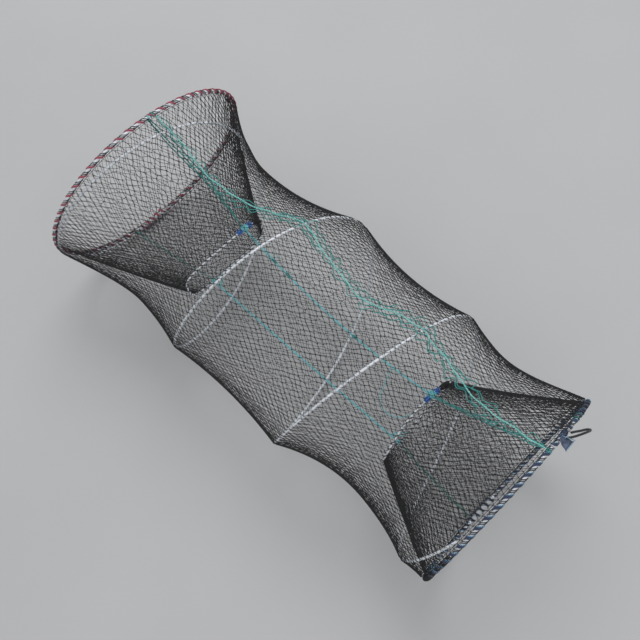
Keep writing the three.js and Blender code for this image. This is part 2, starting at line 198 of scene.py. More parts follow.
class Throat:
    """A flat wire loop: its place, the middle of its width, half its width and height, its slant,
    and how far its upper side bows along the trap."""

    def __init__(self, at, middle, half, height, rise, slant, turn, bow):
        self.at, self.middle, self.half, self.bow = at, middle, half, bow
        self.height, self.rise, self.slant, self.turn = height, rise, slant, math.radians(turn)

    squareness = 4           # 2 is an ellipse, more is squarer

    def point(self, angle, grow=0.0, shift=0.0):
        power = 2 / self.squareness
        c, s = math.cos(angle), math.sin(angle)
        across = (self.half + grow) * math.copysign(abs(c) ** power, c)
        up = (self.rise + grow) * math.copysign(abs(s) ** power, s)
        height = up / self.rise
        along = self.slant * height + self.bow * (1 + height) / 2 * (1 - (across / self.half) ** 2)
        return trap_start + Vector((
            self.at + shift + across * math.sin(self.turn) + along, self.middle + across, self.height + up,
        ))

    def angle_at(self, across, upper):
        share = min(max((across - self.middle) / self.half, -1), 1)
        angle = math.acos(math.copysign(abs(share) ** (self.squareness / 2), share))
        return angle if upper else -angle


far_throat = Throat(0.145, -0.013, 0.063, 0.125, 0.020, -0.005, 0, 0)
near_throat = Throat(trap_length - 0.127, 0.0, 0.064, 0.123, 0.019, 0.002, -3, -0.009)
upper_tie = {"far": 0.026, "near": 0.029}
lower_tie = {"far": -0.040, "near": -0.030}
upper_sag, lower_sag = 0.032, 0.003
far_upper_angle = far_throat.angle_at(upper_tie["far"], True)
far_lower_angle = far_throat.angle_at(lower_tie["far"], False)
near_upper_angle = near_throat.angle_at(upper_tie["near"], True)
near_lower_angle = near_throat.angle_at(lower_tie["near"], False)
upper_ties = (("far", far_throat, far_upper_angle), ("near", near_throat, near_upper_angle))


# ---------- camera ----------

def make_camera():
    """High over the near right, looking down across the trap."""
    data = bpy.data.cameras.new("camera")
    data.lens = 53.716
    data.sensor_width = 36
    data.clip_start, data.clip_end = 0.05, 50
    camera = bpy.data.objects.new("camera", data)
    forward = Vector((-0.26605, 0.28502, -0.92086)).normalized()
    up = Vector((-0.64870, 0.65367, 0.38975)).normalized()
    right = forward.cross(up)
    turned = Matrix((right, up, -forward)).transposed().to_4x4()
    camera.matrix_world = Matrix.Translation((0.314855, -0.316227, 1.20146)) @ turned
    bpy.context.scene.collection.objects.link(camera)
    bpy.context.scene.camera = camera


# ---------- materials ----------

def new_material(name):
    material = bpy.data.materials.new(name)
    material.use_nodes = True
    return material, material.node_tree, material.node_tree.nodes["Principled BSDF"]


def add_node(tree, kind, **inputs):
    node = tree.nodes.new(kind)
    for key, value in inputs.items():
        node.inputs[key.replace("_", " ")].default_value = value
    return node


def ramp(tree, source, stops):
    node = tree.nodes.new("ShaderNodeValToRGB")
    elements = node.color_ramp.elements
    while len(elements) < len(stops):
        elements.new(0.5)
    for element, (place, colour) in zip(elements, stops):
        element.position = place
        element.color = (*colour, 1)
    tree.links.new(source, node.inputs["Fac"])
    return node.outputs["Color"]


def noise(tree, scale, detail=3.0, roughness=0.55):
    coordinates = tree.nodes.new("ShaderNodeTexCoord")
    node = add_node(tree, "ShaderNodeTexNoise", Scale=scale, Detail=detail, Roughness=roughness)
    tree.links.new(coordinates.outputs["Object"], node.inputs["Vector"])
    return node.outputs["Fac"]


def bump(tree, shader, height, strength, distance):
    node = add_node(tree, "ShaderNodeBump", Strength=strength, Distance=distance)
    tree.links.new(height, node.inputs["Height"])
    tree.links.new(node.outputs["Normal"], shader.inputs["Normal"])


def spread(tree, source, low, high):
    """Stretches a texture's middle values over a range of roughness."""
    node = tree.nodes.new("ShaderNodeMapRange")
    node.inputs["From Min"].default_value = 0.3
    node.inputs["From Max"].default_value = 0.7
    node.inputs["To Min"].default_value = low
    node.inputs["To Max"].default_value = high
    tree.links.new(source, node.inputs["Value"])
    return node.outputs["Result"]


def coated_wire(name, pale, scuffed):
    """Pale coating with small scuffs and a little grime."""
    material, tree, shader = new_material(name)
    patches = noise(tree, 160, 5, 0.65)
    colour = ramp(tree, patches, [(0.36, scuffed), (0.47, pale), (1.0, pale)])
    tree.links.new(colour, shader.inputs["Base Color"])
    tree.links.new(spread(tree, patches, 0.5, 0.26), shader.inputs["Roughness"])
    bump(tree, shader, noise(tree, 900, 2), 0.15, 0.0002)
    shader.inputs["Coat Weight"].default_value = 0.2
    shader.inputs["Coat Roughness"].default_value = 0.3
    return material


def plain_fibre(name, dark, light, scale=700):
    """Knotted thread too fine for its twist to show."""
    material, tree, shader = new_material(name)
    fuzz = noise(tree, scale, 4, 0.7)
    tree.links.new(ramp(tree, fuzz, [(0.35, dark), (0.68, light)]), shader.inputs["Base Color"])
    tree.links.new(spread(tree, fuzz, 0.6, 0.85), shader.inputs["Roughness"])
    bump(tree, shader, fuzz, 0.5, 0.0003)
    return material


def twisted_twine(name, dark, middle, light, lay):
    """Plied twine: ridges run slantwise along its own length, one every lay; its colour holds painted shade
    in the grooves and a painted highlight on each crest.
    """
    material, tree, shader = new_material(name)
    coordinates = tree.nodes.new("ShaderNodeUVMap")
    coordinates.uv_map = "UVMap"
    parts = tree.nodes.new("ShaderNodeSeparateXYZ")
    tree.links.new(coordinates.outputs["UV"], parts.inputs["Vector"])
    turns = tree.nodes.new("ShaderNodeMath")
    turns.operation = "MULTIPLY_ADD"
    turns.inputs[1].default_value = 2 * math.pi / lay
    tree.links.new(parts.outputs["X"], turns.inputs[0])
    round_it = tree.nodes.new("ShaderNodeMath")
    round_it.operation = "MULTIPLY"
    round_it.inputs[1].default_value = 4 * math.pi
    tree.links.new(parts.outputs["Y"], round_it.inputs[0])
    tree.links.new(round_it.outputs[0], turns.inputs[2])
    wave = tree.nodes.new("ShaderNodeMath")
    wave.operation = "SINE"
    tree.links.new(turns.outputs[0], wave.inputs[0])
    ridge = tree.nodes.new("ShaderNodeMapRange")
    ridge.inputs["From Min"].default_value = -1
    tree.links.new(wave.outputs[0], ridge.inputs["Value"])
    # Painted shade and highlight: the colour runs from the dark stop in the grooves between plies to the
    # light stop on their crests.
    colour = ramp(tree, ridge.outputs["Result"], [(0.05, dark), (0.45, middle), (0.95, light)])
    worn = tree.nodes.new("ShaderNodeMix")
    worn.data_type = "RGBA"
    worn.blend_type = "MULTIPLY"
    worn.inputs["Factor"].default_value = 0.5
    tree.links.new(colour, worn.inputs["A"])
    patches = ramp(tree, noise(tree, 90, 4), [(0.3, (0.55, 0.55, 0.55)), (0.65, (1, 1, 1))])
    tree.links.new(patches, worn.inputs["B"])
    tree.links.new(worn.outputs["Result"], shader.inputs["Base Color"])
    shader.inputs["Roughness"].default_value = 0.62
    shader.inputs["Sheen Weight"].default_value = 0.15
    bump(tree, shader, ridge.outputs["Result"], 0.6, 0.0004)
    return material


def moulded_sleeve(name):
    material, tree, shader = new_material(name)
    grain = noise(tree, 420, 4, 0.6)
    colour = ramp(tree, grain, [(0.3, (0.42, 0.44, 0.47)), (0.7, (0.56, 0.58, 0.61))])
    tree.links.new(colour, shader.inputs["Base Color"])
    tree.links.new(spread(tree, grain, 0.42, 0.62), shader.inputs["Roughness"])
    bump(tree, shader, grain, 0.25, 0.0002)
    return material


def pale_floor(name):
    material, tree, shader = new_material(name)
    cloud = noise(tree, 2.5, 3)
    colour = ramp(tree, cloud, [(0.3, (0.50, 0.50, 0.505)), (0.7, (0.53, 0.53, 0.535))])
    tree.links.new(colour, shader.inputs["Base Color"])
    shader.inputs["Roughness"].default_value = 0.8
    return material


wire_look = coated_wire("coated_wire", (0.80, 0.83, 0.88), (0.42, 0.45, 0.50))
net_look = plain_fibre("black_netting", (0.006, 0.006, 0.007), (0.022, 0.022, 0.025))
knot_black_look = plain_fibre("black_knots", (0.005, 0.005, 0.006), (0.018, 0.018, 0.02))
# Each twine's three colours: painted shade for its grooves, its own colour, and a painted highlight for its
# crests.
red_look = twisted_twine("red_twine", (0.16, 0.015, 0.04), (0.40, 0.035, 0.085), (0.62, 0.16, 0.20), 0.0022)
navy_look = twisted_twine("navy_twine",
                          (0.008, 0.012, 0.03), (0.02, 0.035, 0.085), (0.06, 0.10, 0.20), 0.0022)
sky_look = twisted_twine("sky_twine", (0.04, 0.13, 0.24), (0.10, 0.30, 0.50), (0.36, 0.58, 0.76), 0.0022)
white_look = twisted_twine("white_twine", (0.36, 0.38, 0.42), (0.68, 0.70, 0.74), (0.86, 0.88, 0.90), 0.0022)
teal_look = twisted_twine("teal_twine", (0.005, 0.11, 0.10), (0.012, 0.27, 0.25), (0.08, 0.48, 0.44), 0.0018)
pale_teal_look = twisted_twine("pale_teal_twine",
                               (0.04, 0.38, 0.36), (0.16, 0.68, 0.64), (0.55, 0.92, 0.88), 0.0022)
dark_teal_look = twisted_twine("dark_teal_twine",
                               (0.006, 0.09, 0.075), (0.02, 0.22, 0.18), (0.06, 0.38, 0.31), 0.0018)
turquoise_look = twisted_twine("turquoise_twine",
                               (0.02, 0.32, 0.38), (0.08, 0.62, 0.68), (0.46, 0.90, 0.92), 0.0018)
cobalt_look = twisted_twine("cobalt_twine",
                            (0.006, 0.035, 0.18), (0.02, 0.11, 0.50), (0.10, 0.30, 0.78), 0.0020)
cord_look = twisted_twine("black_cord",
                          (0.004, 0.004, 0.005), (0.010, 0.010, 0.012), (0.028, 0.028, 0.032), 0.0024)
sleeve_look = moulded_sleeve("sleeve_plastic")
band_look = plain_fibre("slate_blue_film", (0.035, 0.05, 0.09), (0.13, 0.17, 0.25), 300)


# ---------- lines in space ----------

def resample(points, step):
    """The same line in equal steps."""
    points = np.array([tuple(p) for p in points], float)
    lengths = np.concatenate([[0], np.cumsum(np.linalg.norm(np.diff(points, axis=0), axis=1))])
    count = max(2, int(round(lengths[-1] / step)) + 1)
    at = np.linspace(0, lengths[-1], count)
    return np.stack([np.interp(at, lengths, points[:, k]) for k in range(3)], 1), at


def sides_along(points):
    """Two directions square to a line at each of its points, carried along it without twisting."""
    tangents = np.gradient(points, axis=0)
    tangents /= np.linalg.norm(tangents, axis=1)[:, None]
    start = np.array((0.0, 0.0, 1.0)) if abs(tangents[0][2]) < 0.9 else np.array((1.0, 0.0, 0.0))
    first = []
    side = start
    for tangent in tangents:
        side = side - tangent * (side @ tangent)
        side = side / np.linalg.norm(side)
        first.append(side)
    first = np.array(first)
    return first, np.cross(tangents, first)


def wound_round(points, radius, pitch, phase=0.0, steps=10):
    """A line wound round another. radius is a distance, or gives one from a share of the way."""
    line, at = resample(points, pitch / steps)
    first, second = sides_along(line)
    turn = 2 * math.pi * at / pitch + phase
    share = at / at[-1]
    reach = np.array([radius(s) for s in share]) if callable(radius) else np.full(len(at), radius)
    return line + (first * np.cos(turn)[:, None] + second * np.sin(turn)[:, None]) * reach[:, None]


def plies(points, diameter, lay=None, count=2, steps=7):
    """The strands of a twine, twisted round its middle line, and the diameter of one of them."""
    lay = lay or diameter * 4
    strand = diameter / 2
    routes = [wound_round(points, strand / 2, lay, 2 * math.pi * k / count, steps) for k in range(count)]
    return routes, strand


def smooth_line(points, pieces):
    """A smooth line through a few chosen points."""
    table = np.array([tuple(p) for p in points], float)
    places = np.linspace(0, len(table) - 1, pieces + 1)
    return [Vector([through(table[:, k], place) for k in range(3)]) for place in places]


# ---------- making pieces ----------

def deselect():
    for thing in bpy.context.selected_objects:
        thing.select_set(False)


def choose(piece):
    deselect()
    piece.select_set(True)
    bpy.context.view_layer.objects.active = piece


def wear(piece, look, smooth=True):
    piece.data.materials.clear()
    piece.data.materials.append(look)
    if smooth:
        piece.data.polygons.foreach_set("use_smooth", [True] * len(piece.data.polygons))
        piece.data.update()
    return piece


def stretch_uv(piece, counts, lengths, sides):
    """Makes the first UV axis run in metres along each line."""
    owner = np.repeat(np.arange(len(counts)), [n * sides for n in counts])
    corners = np.zeros(len(piece.data.loops), int)
    piece.data.loops.foreach_get("vertex_index", corners)
    layer = piece.data.uv_layers[0]
    layer.name = "UVMap"
    uv = np.zeros(len(corners) * 2)
    layer.data.foreach_get("uv", uv)
    uv = uv.reshape(-1, 2)
    uv[:, 0] *= np.array(lengths)[owner[np.minimum(corners, len(owner) - 1)]]
    layer.data.foreach_set("uv", uv.ravel())


def lines(name, routes, diameter, look, sides=6, closed=False):
    """Round lines of one diameter, each along its own route, as one mesh."""
    data = bpy.data.curves.new(name, "CURVE")
    data.dimensions = "3D"
    data.bevel_depth = diameter / 2
    data.bevel_resolution = (sides - 4) // 2
    data.use_fill_caps = not closed
    counts, lengths = [], []
    for route in routes:
        points = np.array([tuple(p) for p in route], float)
        spline = data.splines.new("POLY")
        spline.points.add(len(points) - 1)
        spline.points.foreach_set("co", np.column_stack([points, np.ones(len(points))]).ravel())
        spline.use_cyclic_u = closed
        counts.append(len(points))
        lengths.append(float(np.linalg.norm(np.diff(points, axis=0), axis=1).sum()))
    piece = bpy.data.objects.new(name, data)
    bpy.context.scene.collection.objects.link(piece)
    choose(piece)
    bpy.ops.object.convert(target="MESH")
    piece = bpy.context.object
    if piece.data.uv_layers:
        stretch_uv(piece, counts, lengths, sides)
    return wear(piece, look)


def attach(piece, body, slot, *nodes, folds=False):
    """Rides on a body, stands for CAD nodes, and where it is soft gets a mesh of its own."""
    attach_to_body(piece, body)
    if nodes:
        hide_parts(*nodes)
    if folds:
        foot = near_foot if body == "near_half" else far_foot
        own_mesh(piece)
        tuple(foot)
    return piece


def copies(name, base, places, look):
    """One mesh that holds a copy of a small shape at each place, a matrix."""
    vertices = np.array([tuple(v.co) for v in base.data.vertices])
    faces = [list(face.vertices) for face in base.data.polygons]
    all_vertices, all_faces = [], []
    for i, matrix in enumerate(places):
        turned = np.array(matrix.to_3x3())
        all_vertices.append(vertices @ turned.T + np.array(matrix.translation))
        all_faces.extend([[v + i * len(vertices) for v in face] for face in faces])
    mesh = bpy.data.meshes.new(name)
    mesh.from_pydata(np.concatenate(all_vertices).tolist(), [], all_faces)
    piece = bpy.data.objects.new(name, mesh)
    bpy.context.scene.collection.objects.link(piece)
    bpy.data.objects.remove(base)
    return wear(piece, look)


# ---------- camera and free cords come first ----------

make_camera()


def tension_line(near_angle, far_angle, sag, pieces=60):
    start, end = far_throat.point(far_angle), near_throat.point(near_angle)
    line = []
    for i in range(pieces + 1):
        share = i / pieces
        point = start.lerp(end, share)
        point.z -= 4 * sag * share * (1 - share)
        line.append(point)
    return line


slack_route = [
    (-3, -9.5, -8), (-2.7, -12.4, -18), (-4.2, -17, -29), (-7.4, -24.3, -39), (-15, -32.6, -47),
    (-27.5, -38.5, -50), (-39.5, -38.4, -47), (-48.5, -33, -39), (-52.6, -22.6, -30), (-57, -12, -22),
    (-60, -4, -16),
]
tie_route = [
    (0, 71.5, 0), (4, 69, 0.6), (8, 65.5, 1.4), (11.5, 61.5, 1.2), (13.5, 58, -0.6), (13, 56, -3),
    (10, 57, -4.6), (6.5, 60.5, -4.4), (3, 64, -2.8), (0.2, 67, -1),
]
tie_up, tie_out, tie_cord = 0.6, 0.85, 0.0026
lacing_radius = hoop_wire / 2 + gap + 0.0017


def outside_near_hoop(out, degrees, beyond):
    reach = lacing_radius + tie_cord / 2 + gap
    point = on_trap(trap_length, math.radians(degrees), near_radius + reach * tie_up + beyond)
    point.x += reach * tie_out + out
    return point


def length_of(line):
    return sum((b - a).length for a, b in zip(line, line[1:]))


def make_slack_twine():
    knot = near_throat.point(near_upper_angle)
    chosen = [knot + Vector(step) / 1000 for step in slack_route]
    line = smooth_line(chosen, 60)
    piece = lines("slack_twine_end", [line], 0.0012, turquoise_look, 8)
    attach(piece, "far_half", "teal_twine", "slack_twine", folds=True)


def make_tie_loop():
    chosen = [outside_near_hoop(out / 1000, degrees, beyond / 1000) for out, degrees, beyond in tie_route]
    line = smooth_line(chosen, 60)
    piece = lines("tie_loop_cord", [line], tie_cord, cord_look, 12)
    attach(piece, "near_hoop", "black_cord", "tie_loop")


make_slack_twine()
make_tie_loop()


# ---------- wires ----------

def hoop_line(at, radius, start=-90.0, end=270.0, step=2.0, beyond=0.0):
    count = int(round(abs(end - start) / step)) + 1
    return [on_trap(at, math.radians(a), radius + beyond) for a in np.linspace(start, end, count)]


def make_hoop_wires():
    for name, at, radius in (("far_hoop", 0.0, far_radius), ("near_hoop", trap_length, near_radius)):
        half = math.degrees(0.0004 / radius)
        line = hoop_line(at, radius, -90 + half, 270 - half)
        piece = lines(name + "_wire", [line], hoop_wire, wire_look, 12)
        attach(piece, name, "coated_wire", name)


def make_coil():
    line = []
    for degrees in np.arange(-coil_lead_in, coil_end + 1, 2.5):
        along = coil_along(degrees)
        line.append(on_trap(along, math.pi - math.radians(degrees), wrap_radius(along) - coil_in(degrees)))
    piece = lines("coil_wire", [line], coil_wire, wire_look, 12)
    attach(piece, "far_half", "coated_wire", "coil_spring", folds=True)


def throat_line(throat, start_angle, pieces=160):
    half = 0.0004 / throat.half
    angles = np.linspace(start_angle + half, start_angle + 2 * math.pi - half, pieces)
    return [throat.point(a) for a in angles]


def make_throat_wires():
    for side, throat, angle in upper_ties:
        line, _ = resample(throat_line(throat, angle), 0.003)
        piece = lines(side + "_throat_loop", [line], throat_wire, wire_look, 10)
        attach(piece, side + "_throat", "coated_wire", side + "_throat_wire")


make_hoop_wires()
make_coil()
make_throat_wires()


# ---------- netting ----------

def net_tube(name, round_count, along_count):
    """A tube of lozenge-shaped meshes, one unit long, ready to be laid on its surface."""
    deselect()
    bpy.ops.mesh.primitive_cylinder_add(vertices=round_count, radius=1, depth=1, end_fill_type="NOTHING")
    piece = bpy.context.object
    piece.name = name
    bpy.ops.object.mode_set(mode="EDIT")
    bpy.ops.mesh.select_mode(type="EDGE")
    bpy.ops.mesh.select_all(action="DESELECT")
    bpy.ops.object.mode_set(mode="OBJECT")
    for edge in piece.data.edges:
        a, b = (piece.data.vertices[v].co for v in edge.vertices)
        edge.select = abs(a.z - b.z) > 0.5
    bpy.ops.object.mode_set(mode="EDIT")
    bpy.ops.mesh.subdivide(number_cuts=along_count - 1)
    bpy.ops.mesh.select_all(action="SELECT")
    bpy.ops.mesh.mark_seam(clear=False)
    bpy.ops.mesh.poke()
    bpy.ops.mesh.select_all(action="DESELECT")
    bpy.ops.object.mode_set(mode="OBJECT")
    for edge in piece.data.edges:
        heights = [abs(piece.data.vertices[v].co.z) for v in edge.vertices]
        edge.select = edge.use_seam and min(heights) < 0.4999
    bpy.ops.object.mode_set(mode="EDIT")
    bpy.ops.mesh.dissolve_edges(use_verts=False)
    bpy.ops.mesh.select_all(action="SELECT")
    bpy.ops.mesh.mark_seam(clear=True)
    bpy.ops.object.mode_set(mode="OBJECT")
    return piece


def lay_net(piece, surface, wander, seed):
    """Moves each knot of a net tube onto its surface, a little out of line, and says where they are."""
    rng = np.random.default_rng(seed)
    knots = []
    for vertex in piece.data.vertices:
        share = vertex.co.z + 0.5
        angle = math.atan2(vertex.co.y, vertex.co.x)
        inner = 0.002 < share < 0.998
        shift, turn = rng.normal(0, 1, 2) * wander * (1 if inner else 0)
        share = min(max(share + shift / mesh_along, 0), 1)
        vertex.co = surface(share, angle + turn * 2 * math.pi / mesh_round)
        knots.append(vertex.co.copy())
    piece.data.update()
    return knots


def make_threads(piece, look):
    choose(piece)
    frame_it = piece.modifiers.new("threads", "WIREFRAME")
    frame_it.thickness = thread
    frame_it.use_even_offset = False
    frame_it.use_boundary = True
    bpy.ops.object.modifier_apply(modifier="threads")
    return wear(piece, look)


def knot_places(piece, knots):
    """A matrix for each knot, with its third axis out of the netting."""
    places = []
    normals = [v.normal.copy() for v in piece.data.vertices]
    for point, normal in zip(knots, normals):
        turned = normal.to_track_quat("Z", "X").to_matrix().to_4x4()
        places.append(Matrix.Translation(point) @ turned)
    return places


def small_knot(size):
    deselect()
    bpy.ops.mesh.primitive_uv_sphere_add(segments=4, ring_count=2, radius=size)
    knot = bpy.context.object
    bpy.ops.object.mode_set(mode="EDIT")
    bpy.ops.transform.resize(value=(1.25, 0.95, 0.8))
    bpy.ops.object.mode_set(mode="OBJECT")
    return knot


def netting(name, along_count, surface, body, nodes, seed, wander=0.09):
    piece = net_tube(name, mesh_round, along_count)
    knots = lay_net(piece, surface, wander, seed)
    places = knot_places(piece, knots)
    make_threads(piece, net_look)
    attach(piece, body, "black_netting", *nodes, folds=True)
    tied = copies(name + "_knots", small_knot(thread * 1.15), places, knot_black_look)
    attach(tied, body, "black_netting", folds=True)


def body_surface(share, angle):
    return on_net(net_edge + share * (trap_length - 2 * net_edge), angle)


def funnel_surface(side):
    throat = far_throat if side == "far" else near_throat
    at, radius = (0.0, far_radius) if side == "far" else (trap_length, near_radius)
    inward = 1 if side == "far" else -1

    def surface(share, angle):
        share = share if side == "far" else 1 - share
        run = share ** 0.9
        mouth = on_trap(at, angle, radius - hoop_wire / 2 - thread) - Vector((mouth_shift, 0, 0))
        end = throat.point(angle, -throat_wire / 2 - thread / 2, -inward * 0.0004)
        point = mouth.lerp(end, run)
        point.z -= funnel_sag * 4 * run * (1 - run)
        return point

    return surface


def make_netting():
    netting("body_netting", mesh_along, body_surface, "far_half",
            ["body_net_1", "body_net_2", "body_net_3", "body_net_4"], 11)
    netting("far_funnel_netting", mesh_funnel, funnel_surface("far"), "far_half", ["far_funnel_net"], 12)
    netting("near_funnel_netting", mesh_funnel, funnel_surface("near"), "near_half", ["near_funnel_net"], 13)


make_netting()


# ---------- lacing round the hoops ----------

far_lacing_pitch = 0.0152
near_lacing_pitch = 0.0145


def lacing(name, at, radius, body, slot, look, pitch, strand, phases, node=None):
    """Strands wound side by side round a hoop and the netting's edge."""
    half = math.degrees((sleeve_length / 2 + 0.002) / radius)
    line = hoop_line(at, radius, -90 + half, 270 - half)
    routes = [wound_round(line, hoop_wire / 2 + strand / 2 + 0.0001, pitch, phase, 14) for phase in phases]
    piece = lines(name, routes, strand, look, 8)
    attach(piece, body, slot, *([node] if node else []))


def make_lacing():
    lacing("far_red_lacing", 0.0, far_radius, "far_hoop", "red_twine", red_look, far_lacing_pitch,
           0.0014, (0.4, 1.0), "far_hoop_lacing")
    lacing("far_net_ties", 0.0, far_radius, "far_hoop", "red_twine", knot_black_look, far_lacing_pitch,
           0.0009, (2.2, 3.6))
    lacing("near_navy_lacing", trap_length, near_radius, "near_hoop", "blue_twine", navy_look,
           near_lacing_pitch, 0.0014, (0.0, 0.6, 1.2), "near_hoop_lacing")
    lacing("near_net_ties", trap_length, near_radius, "near_hoop", "blue_twine", knot_black_look,
           near_lacing_pitch, 0.0009, (3.2, 4.3))
    lacing("near_sky_lacing", trap_length, near_radius, "near_hoop", "blue_twine", sky_look,
           near_lacing_pitch, 0.0011, (1.75,))


make_lacing()


# ---------- sleeves ----------

def make_sleeve(side, at, radius, turn, look):
    """A slim sleeve over the hoop's two wire ends, flat underneath, with twine hooked over it."""
    middle = on_trap(at, -math.pi / 2, radius)
    deselect()
    bpy.ops.mesh.primitive_cube_add(size=1)
    piece = bpy.context.object
    piece.name = side + "_sleeve"
    height = sleeve_half + hoop_wire / 2 + 0.0012
    bpy.ops.object.mode_set(mode="EDIT")
    bpy.ops.transform.resize(value=(0.0066, sleeve_length, height))
    bpy.ops.transform.rotate(value=turn, orient_axis="Z", center_override=(0, 0, 0))
    bpy.ops.transform.translate(value=(middle.x, middle.y, height / 2))
    bpy.ops.object.mode_set(mode="OBJECT")
    rounding = piece.modifiers.new("rounding", "BEVEL")
    rounding.width = 0.0022
    rounding.segments = 5
    bpy.ops.object.modifier_apply(modifier="rounding")
    wear(piece, sleeve_look)
    attach(piece, side + "_hoop", "sleeve_plastic", side + "_hoop_sleeve")
    turned = Matrix.Rotation(turn, 3, "Z")
    hook_half, hook_drop, hook_slant = 0.0040, 0.0056, 0.0022
    first_hook, hook_pitch = -0.019, 0.0088
    routes = []
    for i in range(5):
        start = first_hook + hook_pitch * i
        for shift in (0, 0.0013):
            hook = []
            for t in np.linspace(-1, 1, 25):
                across = hook_half * math.copysign(min(1, abs(t) * 1.9) ** 0.7, t)
                up = height + 0.0007 - hook_drop * max(0, abs(t) - 0.5) * 2
                lying = turned @ Vector((across, start + shift + hook_slant * t, 0))
                hook.append(lying + Vector((middle.x, middle.y, up)))
            routes.append(hook)
    piece = lines(side + "_sleeve_twine", routes, 0.0013, look, 8)
    attach(piece, side + "_hoop", "red_twine" if side == "far" else "blue_twine")


make_sleeve("far", 0.0, far_radius, far_turn, red_look)
make_sleeve("near", trap_length, near_radius, near_turn, navy_look)


# ---------- twine along the netting and the funnels ----------

seam_degrees = [83, 81, 80.5, 80, 74, 70.5, 75.5, 78, 72, 71.5, 75, 80.5, 82]


def seam_angle(share):
    return math.radians(through(seam_degrees, share * (len(seam_degrees) - 1)))


def wavy_seam_angle(share):
    return seam_angle(share) + 0.010 * math.sin(46 * share) + 0.006 * math.sin(113 * share)


def make_net_seam():
    """One bright strand, and the teal meshes on both sides that it draws together."""
    rng = np.random.default_rng(5)
    main = [on_net(share * trap_length, wavy_seam_angle(share), 0.0012)
            for share in np.linspace(0.008, 0.992, 260)]
    routes, strand = plies(main, 0.0020)
    piece = lines("net_seam_main", routes, strand, pale_teal_look)
    attach(piece, "far_half", "teal_twine", "net_seam_cord", folds=True)
    chains = [                  # side, nearest and farthest reach, start and end shares, meshes
        (1, 0.0006, 0.0096, 0.01, 0.99, 52), (-1, 0.0006, 0.0088, 0.01, 0.99, 48),
        (1, 0.0070, 0.0140, 0.20, 0.46, 18), (-1, 0.0066, 0.0142, 0.34, 0.90, 40),
        (1, 0.0068, 0.0138, 0.58, 0.92, 24),
    ]
    side_routes = []
    for side, inner, outer, start, end, count in chains:
        places, reaches = [], []
        for i in range(count + 1):
            share = start + (end - start) * i / count
            reach = (outer if i % 2 else inner) * rng.uniform(0.55, 1.15)
            reaches.append(reach * side * min(1, share / 0.12 + 0.2, (1 - share) / 0.07 + 0.4))
            places.append(min(max(share * trap_length + rng.normal(0, 0.0022), 0.005), trap_length - 0.005))
        points = []
        for step in np.linspace(0, count, 6 * count + 1):
            along = through(places, step)
            angle = seam_angle(along / trap_length) + through(reaches, step) / coil_radius
            points.append(on_net(along, angle, 0.0007))
        side_routes.append(points)
    piece = lines("net_seam_meshes", side_routes, 0.0011, teal_look)
    attach(piece, "far_half", "teal_twine", folds=True)


def funnel_twine_line(side, mouth_degrees, tie_angle, sideways):
    """A line on a funnel from its hoop to a knot. sideways gives a distance from a share of the way."""
    surface = funnel_surface(side)
    line = []
    for share in np.linspace(0.01, 0.985, 60):
        angle = math.radians(mouth_degrees) * (1 - share) + tie_angle * share
        at = share if side == "far" else 1 - share
        point = surface(at, angle)
        beside = (surface(at, angle + 0.02) - point).normalized()
        line.append(point + beside * sideways(share) + Vector((0, 0, 0.0014)))
    return line


def make_funnel_seams():
    """Loose strands that part from each other between the hoop and the knot."""
    seams = [                   # name, side, degrees at the hoop, angle at the knot, look, size, spread
        ("far_upper", "far", 87, far_upper_angle, teal_look, 0.0014, 0.0044),
        ("far_lower", "far", -103, far_lower_angle, dark_teal_look, 0.0010, 0.0012),
        ("near_upper", "near", 80, near_upper_angle, teal_look, 0.0013, 0.0034),
        ("near_lower", "near", -98, near_lower_angle, dark_teal_look, 0.0010, 0.0012),
    ]
    rng = np.random.default_rng(8)
    for name, side, mouth_degrees, tie_angle, look, diameter, apart in seams:
        routes = []
        for place in (-1, -0.1, 0.9) if apart > 0.002 else (-1, 1):
            wander = list(rng.normal(0, 0.0007 if apart > 0.002 else 0.0004, 9))

            def sideways(share, place=place, wander=wander):
                return place * apart * (1 - share) ** 0.8 * min(1, share * 6) + through(wander, share * 8)

            routes.append(funnel_twine_line(side, mouth_degrees, tie_angle, sideways))
        piece = lines(name + "_funnel_twine", routes, diameter, look)
        attach(piece, side + "_half", "teal_twine", name + "_funnel_seam", folds=True)


def curl(point, reach, turns, seed, pieces=18):
    """A short free end of twine that curls away from a point."""
    rng = np.random.default_rng(seed)
    away = Vector(rng.normal(0, 1, 3)).normalized()
    side = away.cross(Vector((0, 0, 1))).normalized()
    line = []
    for t in np.linspace(0, 1, pieces):
        bend = turns * math.pi * t
        line.append(point + away * reach * t + side * reach * 0.35 * math.sin(bend)
                    + Vector((0, 0, reach * 0.25 * (1 - math.cos(bend)))))
    return line


cord_pieces = 90
cord_lay = 0.016


